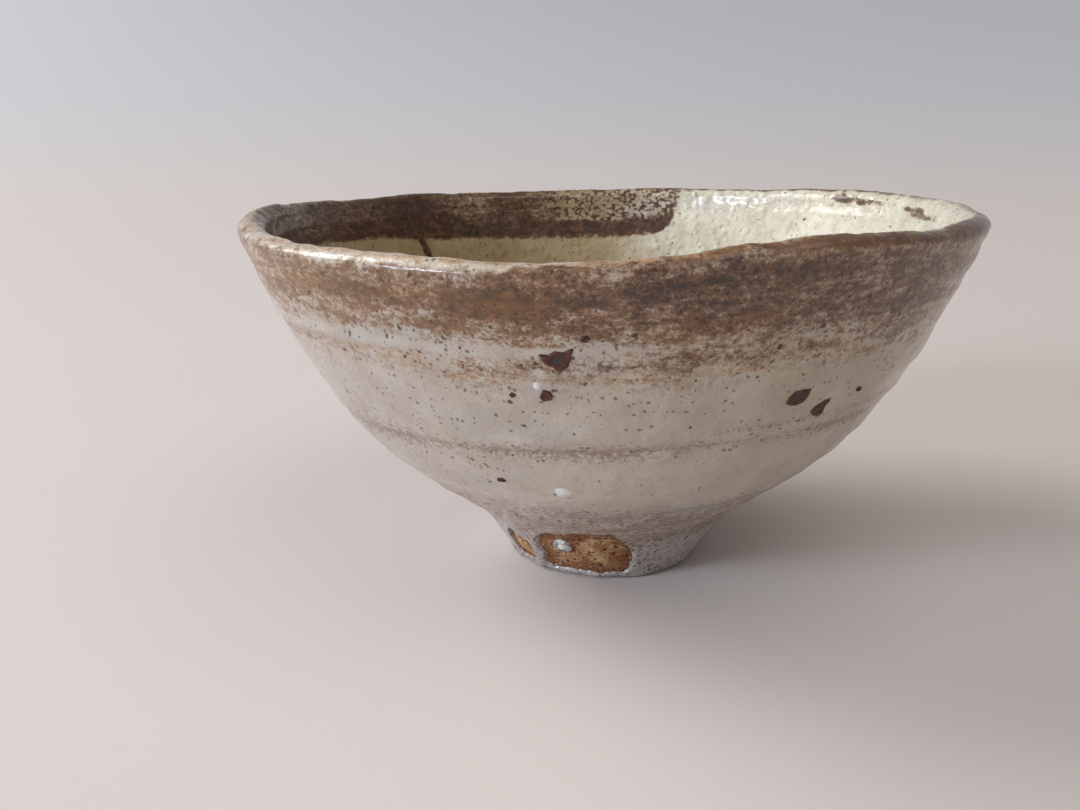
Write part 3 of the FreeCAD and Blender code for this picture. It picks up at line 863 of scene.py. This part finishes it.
def ragged_corners(width, tallness):
    """Corners of an uneven little patch."""
    count = RNG.integers(6, 9)
    angles = (np.arange(count) + RNG.uniform(-0.3, 0.3, count)) * 2 * math.pi / count
    sizes = RNG.uniform(0.72, 1.12, count)
    return [(width / 2 * s * math.cos(a), tallness / 2 * s * math.sin(a)) for a, s in zip(angles, sizes)]


def patch(at, height, reach, rise, sink):
    """Points of one small closed patch: its middle, its rings, a sunk ring and a sunk middle."""
    across = PATCH_RINGS[:, None] * (reach * np.cos(PATCH_ANGLES))[None, :]
    up = PATCH_RINGS[:, None] * (reach * np.sin(PATCH_ANGLES))[None, :]
    top = on_wall(at, height, across, up, rise(PATCH_RINGS)[:, None] * np.ones_like(across))
    bottom = on_wall(at, height, across[-1:] * 0.96, up[-1:] * 0.96, np.full((1, len(reach)), -sink))
    middles = on_wall(at, height, np.zeros((2, 1)), np.zeros((2, 1)), np.array([[rise(0)], [-sink]]))
    return np.concatenate([middles[0], top.reshape(-1, 3), bottom.reshape(-1, 3), middles[1]])


def patch_faces(first):
    """Faces of a patch whose points start at a given number."""
    around, rings = PATCH_SIDES, PATCH_RING_COUNT + 1
    inner, bottom = first + 1, first + 1 + (rings - 1) * around
    quads = ring_faces(rings, around, inner, turned=True)
    return fan(inner, around, first) + quads + fan(bottom, around, bottom + around, turned=True)


def patches(name, parts, values):
    """One mesh of several patches."""
    points = np.concatenate(parts)
    faces = []
    for index in range(len(parts)):
        faces += patch_faces(index * len(parts[0]))
    return new_mesh(name, points, faces, None, values)


def chips():
    """Iron that burst through the coat in flat, sharp-edged chips with a slightly raised rim."""
    def rise(t):
        return 0.16 + 0.14 * bump(t - 0.8, 0.16) - 0.12 * ramp(t, 0.86, 1)

    parts, hearts = [], []
    for at, height, shape in CHIPS:
        corners = shape if len(shape) > 2 else ragged_corners(*shape)
        part = patch(at, height, outline_reach(corners), rise, 0.45)
        part = part + 0.05 * rough_noise(part, 0.7, 171, 2)[:, None] * (0.6, 0.6, 0.6)
        parts.append(part)
        ring = np.concatenate([[0], np.repeat(PATCH_RINGS, PATCH_SIDES), np.ones(PATCH_SIDES + 1)])
        hearts.append(ramp(ring, 0.42, 0.12) * (0.9 if shape is SHIELD else 0.15))
    return patches("iron_chips", parts, {"heart": np.concatenate(hearts)})


def drops():
    """Thick drops of the coat, which melt into it at their edges."""
    def rise(t):
        return -0.1 + 0.46 * np.cos(np.clip(t, 0, 1) * math.pi / 2) ** 1.1

    parts = []
    for at, height, size in DROPS:
        reach = size * (1 + 0.1 * np.sin(2 * PATCH_ANGLES + at) + 0.06 * np.sin(3 * PATCH_ANGLES + height))
        parts.append(patch(at, height, reach, rise, 0.5))
    return patches("glaze_drops", parts, {})


# --- materials ---


def srgb(red, green, blue):
    """A colour named by its 0 to 255 values, as Blender's linear RGBA."""
    channels = []
    for value in (red, green, blue):
        value /= 255
        channels.append(value / 12.92 if value <= 0.04045 else ((value + 0.055) / 1.055) ** 2.4)
    return (*channels, 1)


# How much finer than the dots themselves the noise is that bends them
BEND_FINENESS = 1.6


class Painter:
    """Short ways to add nodes to one material."""

    def __init__(self, name):
        self.material = bpy.data.materials.new(name)
        self.material.use_nodes = True
        self.nodes = self.material.node_tree.nodes
        self.links = self.material.node_tree.links
        self.shader = next(n for n in self.nodes if n.type == "BSDF_PRINCIPLED")
        self.place = self.nodes.new("ShaderNodeTexCoord").outputs["Object"]

    def put(self, socket, value):
        """Links a socket, or sets it to a number or colour."""
        if isinstance(value, bpy.types.NodeSocket):
            self.links.new(value, socket)
        else:
            socket.default_value = value

    def node(self, kind, inputs, **settings):
        """Adds a node with its settings and inputs, and gives back its outputs."""
        made = self.nodes.new("ShaderNode" + kind)
        for key, value in settings.items():
            setattr(made, key, value)
        for key, value in inputs.items():
            self.put(made.inputs[key], value)
        return made.outputs

    def __getitem__(self, name):
        """A value that the mesh carries at each of its points."""
        return self.node("Attribute", {}, attribute_name=name)["Fac"]

    def math(self, operation, first, second):
        return self.node("Math", {0: first, 1: second}, operation=operation)[0]

    def add(self, first, second):
        return self.math("ADD", first, second)

    def less(self, first, second):
        return self.math("SUBTRACT", first, second)

    def times(self, first, *others):
        for other in others:
            first = self.math("MULTIPLY", first, other)
        return first

    def swing(self, noise, reach):
        """Noise around 0.5 turned into a number that swings by reach either side of 0."""
        return self.times(self.less(noise, 0.5), 2 * reach)

    def grained(self, grain, wobble=0):
        """Object coordinates divided by a grain, one size or one per axis, and bent by a wobble, in mm."""
        squash = (grain,) * 3 if isinstance(grain, (int, float)) else grain
        place = self.place
        if wobble:
            scale = BEND_FINENESS / (MM * min(squash))
            bend = self.node("TexNoise", {"Scale": scale, "Detail": 1, "Vector": place})["Color"]
            inputs = {0: bend, 1: (wobble * MM,) * 3, 2: place}
            place = self.node("VectorMath", inputs, operation="MULTIPLY_ADD")[0]
        return self.node("Mapping", {"Scale": tuple(1 / (MM * size) for size in squash), "Vector": place})[0]

    def noise(self, grain, detail=3, roughness=0.55, distortion=0):
        """Noise around 0.5 with lumps of a given size."""
        inputs = {"Scale": 1, "Detail": detail, "Roughness": roughness, "Distortion": distortion}
        return self.node("TexNoise", {**inputs, "Vector": self.grained(grain)})["Fac"]

    def cells(self, grain, wobble=0):
        """Distance to the nearest of scattered points, and that point's random colour."""
        outputs = self.node("TexVoronoi", {"Scale": 1, "Vector": self.grained(grain, wobble)})
        return outputs["Distance"], outputs["Color"]

    def dots(self, grain, share, smallest, largest, wobble=0.5):
        """Uneven dots on a share of scattered cells, each of its own size."""
        distance, colour = self.cells(grain, wobble)
        chance, size, _ = self.node("SeparateColor", {0: colour})
        chosen = self.math("LESS_THAN", chance, share)
        reach = self.ramp(size, 0, 1, smallest, largest)
        return self.times(self.ramp(distance, reach, self.times(reach, 0.6)), chosen)

    def ramp(self, value, low, high, low_out=0, high_out=1):
        """A smooth step of value from low to high."""
        inputs = {"Value": value, "From Min": low, "From Max": high, "To Min": low_out, "To Max": high_out}
        return self.node("MapRange", inputs, interpolation_type="SMOOTHSTEP")["Result"]

    def tones(self, value, stops):
        """A colour for each value, from (position, colour) stops."""
        node = self.nodes.new("ShaderNodeValToRGB")
        self.put(node.inputs["Fac"], value)
        elements = node.color_ramp.elements
        while len(elements) < len(stops):
            elements.new(0.5)
        for element, (position, colour) in zip(elements, stops):
            element.position = position
            element.color = colour
        return node.outputs["Color"]

    def mix(self, share, first, second):
        return self.node("Mix", {0: share, 6: first, 7: second}, data_type="RGBA")[2]

    def finish(self, colour, roughness, bumps, shine=0.5):
        """Feeds the shader and gives back the material. Each bump is a height and its full rise in mm."""
        fed = {"Base Color": colour, "Roughness": roughness, "Specular IOR Level": shine}
        below = {}
        for height, rise in bumps:
            fed["Normal"] = self.node("Bump", {"Distance": rise * MM, "Height": height, **below})[0]
            below = {"Normal": fed["Normal"]}
        for name, value in fed.items():
            self.put(self.shader.inputs[name], value)
        return self.material


FILM_TONES = [
    (0.1, srgb(168, 146, 122)), (0.35, srgb(144, 117, 92)), (0.58, srgb(114, 84, 61)),
    (0.8, srgb(82, 51, 35)), (1, srgb(48, 26, 18)),
]


def bare_coat(paint, grain, clouds):
    """The feldspar coat without iron: cream, warmer at the right, milky where it's thick, and olive with painted
    shade on the far and left inside.
    """
    cloudy = paint.ramp(clouds, 0.35, 0.65)
    cream = paint.mix(cloudy, srgb(180, 170, 160), srgb(198, 191, 182))
    warm = paint.mix(cloudy, srgb(174, 158, 136), srgb(188, 175, 155))
    colour = paint.mix(paint.times(paint["warm"], 0.8), cream, warm)
    inner = paint.mix(cloudy, srgb(216, 208, 184), srgb(230, 224, 206))
    # Olive on the far and left inside is partly the coat's own tint and partly painted shade of the inner wall
    # that faces away from the key light.
    olive_and_shade = paint.mix(cloudy, srgb(150, 126, 88), srgb(168, 146, 108))
    inner = paint.mix(paint["olive_and_shade"], inner, olive_and_shade)
    colour = paint.mix(paint["inside"], colour, inner)
    mottle = paint.ramp(paint.noise(2.6, 4, 0.65), 0.42, 0.7)
    colour = paint.mix(paint.times(mottle, 0.3), colour, srgb(170, 152, 134))
    milk = paint.times(paint["milk"], paint.ramp(grain, 0.32, 0.56, 0.35, 0.8))
    return paint.mix(milk, colour, srgb(180, 184, 188))


def iron_film(paint, grain, fine, streak):
    """How thick the iron lies once the coat has broken it up: 0 is none and 1 the darkest."""
    iron = paint["iron"]
    gate = paint.ramp(iron, 0.02, 0.26)
    clump = paint.noise((3.4, 3.4, 1.8), 3, 0.6)
    uneven = paint.add(paint.swing(streak, 0.38), paint.swing(clump, 0.62))
    uneven = paint.add(uneven, paint.add(paint.swing(grain, 0.66), paint.swing(fine, 0.46)))
    film = paint.add(iron, paint.times(uneven, gate))
    island = paint.ramp(paint.cells((1, 1, 0.8), 0.7)[0], 0.76, 0.46)
    return paint.less(film, paint.times(island, paint["gaps"], 0.75))


def coat_material(name, gloss, skin, shine):
    """Milky feldspar coat over speckled stoneware, with iron where the brush left it."""
    paint = Painter(name)
    clouds = paint.noise(7, 4, 0.6)
    grain = paint.noise((0.95, 0.95, 0.75), 3, 0.65)
    fine = paint.noise(0.38, 2, 0.6)
    streak = paint.noise((9, 9, 0.9), 4, 0.6, 0.3)
    colour = bare_coat(paint, grain, clouds)

    rosy = paint["rose"]
    rosy_there = paint.ramp(rosy, 0, 0.3)
    rosy = paint.add(rosy, paint.times(paint.swing(grain, 1.2), rosy_there))
    rosy = paint.add(rosy, paint.times(paint.swing(fine, 0.9), rosy_there))
    colour = paint.mix(paint.ramp(rosy, 0, 1, 0, 0.9), colour, srgb(122, 96, 86))

    film = iron_film(paint, grain, fine, streak)
    tone = paint.tones(film, FILM_TONES)
    ochre = paint["ochre"]
    ochre_tone = paint.mix(paint.ramp(film, 0.1, 0.9), srgb(188, 144, 86), srgb(118, 72, 34))
    tone = paint.mix(paint.times(ochre, 0.85), tone, ochre_tone)
    broken = paint.add(paint.times(grain, 0.6), paint.times(streak, 0.4))
    ochre_film = paint.times(ochre, paint.ramp(broken, 0.4, 0.58))
    rusty = paint.ramp(paint.noise((2.2, 2.2, 1.2), 3, 0.65), 0.52, 0.66, 0, 0.6)
    rusty = paint.times(rusty, paint.ramp(paint["warm"], 0.3, 1, 1, 0.5))
    tone = paint.mix(paint.times(rusty, paint.ramp(film, 0.1, 0.4)), tone, srgb(134, 84, 44))
    golden = paint.times(paint.ramp(paint["warm"], 0, 0.6, 0.28, 0), paint.less(1, paint["inside"]))
    tone = paint.mix(golden, tone, srgb(158, 116, 66))
    tone = paint.mix(paint.ramp(paint["warm"], 0.4, 1, 0, 0.16), tone, srgb(134, 118, 102))
    tone = paint.mix(paint.times(paint["inside"], 0.42), tone, srgb(56, 30, 20))
    cover = paint.math("MAXIMUM", paint.ramp(film, -0.22, 0.6), paint.times(ochre_film, 0.8))
    colour = paint.mix(paint.times(cover, 0.95), colour, tone)

    thick = paint.times(paint["cream"], paint.ramp(grain, 0.66, 0.48, 0.4, 1))
    tinged = paint.times(ochre, paint.ramp(paint.noise((2.4, 2.4, 1), 3, 0.6), 0.36, 0.58))
    roll = paint.mix(tinged, srgb(226, 214, 194), srgb(190, 130, 70))
    colour = paint.mix(paint.times(thick, 0.9), colour, roll)
    flecks = paint.ramp(paint.noise((1.7, 1.7, 1.1), 3, 0.7), 0.54, 0.64, 0, 0.8)
    colour = paint.mix(paint.times(flecks, paint["cream"]), colour, srgb(146, 100, 62))

    specks = paint["specks"]
    large = paint.dots(2.1, paint.times(specks, 0.55), 0.11, 0.26, 1)
    small = paint.dots(0.9, paint.times(specks, 0.7), 0.18, 0.44, 0.5)
    dark = paint.math("MAXIMUM", large, paint.times(small, 0.75))
    colour = paint.mix(paint.times(dark, 0.92), colour, srgb(70, 45, 34))
    red = paint.dots((1.7, 1.7, 1.2), 0.8, 0.13, 0.4, 0.9)
    colour = paint.mix(paint.times(red, paint["foot"], 0.8), colour, srgb(82, 50, 38))

    rough = paint.ramp(grain, 0.3, 0.7, gloss, gloss + 0.12)
    rough = paint.add(rough, paint.times(cover, 0.12))
    rough = paint.less(rough, paint.times(paint["cream"], 0.12))
    pits = paint.ramp(paint.cells(0.9, 0.3)[0], 0.04, 0.3)
    pebbles = paint.times(paint.ramp(paint.cells(1.9, 0.7)[0], 0.55, 0.1), paint["inside"])
    bumps = [(pits, 0.07), (pebbles, 0.22), (paint.noise(1.5, 4, 0.6), skin), (streak, 0.1)]
    paint.shader.inputs["Coat Weight"].default_value = shine
    paint.shader.inputs["Coat Roughness"].default_value = 0.13
    return paint.finish(colour, rough, bumps, paint.ramp(cover, 0.2, 1, 0.26 + 0.4 * shine, 0.22))


def clay_material():
    """Bare stoneware: golden tan and sandy, scorched darker near the coat, with dark grit."""
    paint = Painter("bare_clay")
    broad = paint.noise(3.2, 4, 0.6)
    sand = paint.noise(0.42, 3, 0.7)
    tone = paint.mix(paint.ramp(broad, 0.38, 0.62), srgb(164, 112, 70), srgb(216, 180, 132))
    tone = paint.mix(paint["scorch"], tone, srgb(124, 76, 47))
    tone = paint.mix(paint.ramp(sand, 0.48, 0.6, 0, 0.8), tone, srgb(104, 64, 40))
    pale = paint.dots(0.8, 0.4, 0.15, 0.42, 0.4)
    tone = paint.mix(paint.times(pale, 0.6), tone, srgb(222, 196, 158))
    dark = paint.dots(0.95, 0.74, 0.16, 0.5, 0.6)
    tone = paint.mix(paint.times(dark, 0.85), tone, srgb(58, 34, 24))
    tone = paint.mix(paint["dusty"], tone, srgb(188, 180, 172))
    bumps = [(sand, 0.34), (paint.noise(1.4, 3, 0.6), 0.3), (dark, 0.12)]
    return paint.finish(tone, paint.ramp(sand, 0.3, 0.7, 0.72, 0.92), bumps, 0.3)


def chip_material():
    """Iron that melted out of the clay: nearly black, with a rust-red and a blue-grey bloom."""
    paint = Painter("iron_chip")
    patch = paint.noise(0.8, 4, 0.6)
    grain = paint.noise(0.3, 3, 0.6)
    tone = paint.tones(patch, [(0.3, srgb(46, 26, 22)), (0.5, srgb(74, 40, 30)), (0.68, srgb(108, 62, 46))])
    tone = paint.mix(paint["heart"], tone, srgb(40, 48, 66))
    tone = paint.mix(paint.ramp(grain, 0.58, 0.7, 0, 0.5), tone, srgb(120, 92, 80))
    return paint.finish(tone, paint.ramp(grain, 0.3, 0.7, 0.34, 0.58), [(grain, 0.1), (patch, 0.16)], 0.4)


def bead_material():
    """A thick drop of the milky coat."""
    paint = Painter("thick_drop")
    cloud = paint.noise(0.9, 3, 0.6)
    fine = paint.noise(0.3, 2, 0.6)
    tone = paint.mix(paint.ramp(cloud, 0.35, 0.65), srgb(202, 202, 200), srgb(222, 221, 216))
    tone = paint.mix(paint.ramp(fine, 0.62, 0.74, 0, 0.25), tone, srgb(150, 140, 134))
    return paint.finish(tone, paint.ramp(fine, 0.3, 0.7, 0.2, 0.34), [(cloud, 0.06)])


# --- the pieces ---


def place_piece(piece, nodes, slot, material):
    """Puts a finished piece into the frame."""
    piece.data.materials.clear()
    piece.data.materials.append(material)
    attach(piece, "root")
    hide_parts(*nodes)


outer_glaze = coat_material("outer_glaze", 0.28, 0.24, 0.6)
inner_glaze = coat_material("inner_glaze", 0.42, 0.26, 0.1)
bare_clay = clay_material()

# How deep the pieces of coat go in mm, on the wall and on the foot
COAT, FOOT_COAT = 1.3, 1.6
# Each piece of coat: name, part of the section, thickness, nodes that it replaces, slot and material
COATS = [
    ("foot_coat", "foot", FOOT_COAT, ["glaze_foot"], "foot_glaze", outer_glaze),
    ("wall_low", "low", COAT, ["glaze_outside"], "feldspar_glaze", outer_glaze),
    ("wall_high", "high", COAT, ["glaze_outside", "iron_wash_outside"], "iron_wash", outer_glaze),
    ("lip", "lip", COAT, ["glaze_lip"], "lip_glaze", outer_glaze),
    ("inner_wall", "inner", COAT, ["glaze_inside", "iron_band_inside"], "iron_brushwork", inner_glaze),
    ("inner_well", "well", COAT, ["glaze_inside"], "feldspar_glaze_inside", inner_glaze),
]
for name, span, thickness, nodes, slot, material in COATS:
    place_piece(coat_piece(name, span, thickness), nodes, slot, material)
place_piece(clay_core(), ["clay_body"], "stoneware", bare_clay)
place_piece(foot_clay(), ["foot_ring"], "stoneware", bare_clay)
place_piece(chips(), ["iron_spots"], "iron_speck", chip_material())
place_piece(drops(), ["glaze_beads"], "thick_glaze", bead_material())


# --- stage, light and camera ---

# The sheet lies flat out to one reach and then rises to another, in metres, bent to a radius
FLAT_OUT_TO, SHEET_OUT_TO, SHEET_BEND = 0.26, 3.2, 2.5
SHEET_SIDES, SHEET_RINGS = 96, 40


def paper():
    """Pale matt paper, a little cooler where it rises behind the bowl."""
    paint = Painter("paper")
    height = paint.node("SeparateXYZ", {0: paint.place})["Z"]
    tone = paint.mix(paint.ramp(height, 0, 0.12), srgb(224, 215, 211), srgb(214, 216, 221))
    fibres = paint.noise(4, 4, 0.6)
    return paint.finish(tone, paint.ramp(fibres, 0.3, 0.7, 0.75, 0.85), [(fibres, 0.02)])


def make_stage():
    """A pale sheet, flat under the bowl and rising gently all round, with no edge in the photo's view."""
    reach = np.concatenate([[0.12], np.linspace(FLAT_OUT_TO, SHEET_OUT_TO, SHEET_RINGS)])[:, None]
    height = np.maximum(reach - FLAT_OUT_TO, 0) ** 2 / (2 * SHEET_BEND) * np.ones(SHEET_SIDES)
    turn = circle(SHEET_SIDES)
    rings = np.stack([reach * np.sin(turn), -reach * np.cos(turn), height], axis=-1).reshape(-1, 3)
    points = np.concatenate([[(0, 0, 0)], rings]) / MM
    faces = fan(1, SHEET_SIDES, 0) + ring_faces(len(reach), SHEET_SIDES, 1, turned=True)
    sheet = new_mesh("sheet", points, faces)
    sheet.data.materials.append(paper())


def soft_light(name, place, size, power, colour):
    """A square softbox aimed at the bowl. The camera doesn't see the box itself."""
    data = bpy.data.lights.new(name, "AREA")
    data.shape = "SQUARE"
    data.size = size
    data.energy = power
    data.color = colour
    lamp = bpy.data.objects.new(name, data)
    lamp.location = place
    lamp.visible_camera = False
    aim = Vector((0, 0, 0.03)) - Vector(place)
    lamp.rotation_euler = aim.to_track_quat("-Z", "Y").to_euler()
    bpy.context.scene.collection.objects.link(lamp)


def make_light():
    """A key from the left and a little behind, a small cool window at the front left, and faint fill."""
    soft_light("key", (-1.83, 0.54, 1.42), 1.2, 33, (1, 0.98, 0.96))
    soft_light("window", (-1.32, -1, 0.6), 0.48, 17.5, (0.76, 0.86, 1))
    soft_light("top_fill", (0.3, -0.25, 0.95), 0.8, 2.3, (1, 0.97, 0.94))
    world = bpy.data.worlds.new("studio")
    bpy.context.scene.world = world
    world.use_nodes = True
    background = world.node_tree.nodes["Background"].inputs
    background["Color"].default_value = (1, 0.94, 0.87, 1)
    background["Strength"].default_value = 0.22
    bpy.context.scene.view_settings.view_transform = "Standard"


# The camera's place in mm, how far it looks down and left in degrees, and its focal length per frame width
CAMERA_BACK, CAMERA_UP = 186.7, 80.9
CAMERA_DOWN, CAMERA_LEFT = 15.86, 3.68
FOCAL_SHARE = 1000 / 1080
SENSOR_WIDTH = 36


def make_camera():
    """The photo's camera, a little above the rim."""
    data = bpy.data.cameras.new("camera")
    data.sensor_width = SENSOR_WIDTH
    data.lens = SENSOR_WIDTH * FOCAL_SHARE
    data.clip_start = 0.005
    camera = bpy.data.objects.new("camera", data)
    camera.location = (0, -CAMERA_BACK * MM, CAMERA_UP * MM)
    camera.rotation_euler = (math.radians(90 - CAMERA_DOWN), 0, math.radians(CAMERA_LEFT))
    bpy.context.scene.collection.objects.link(camera)
    bpy.context.scene.camera = camera


make_stage()
make_light()
make_camera()
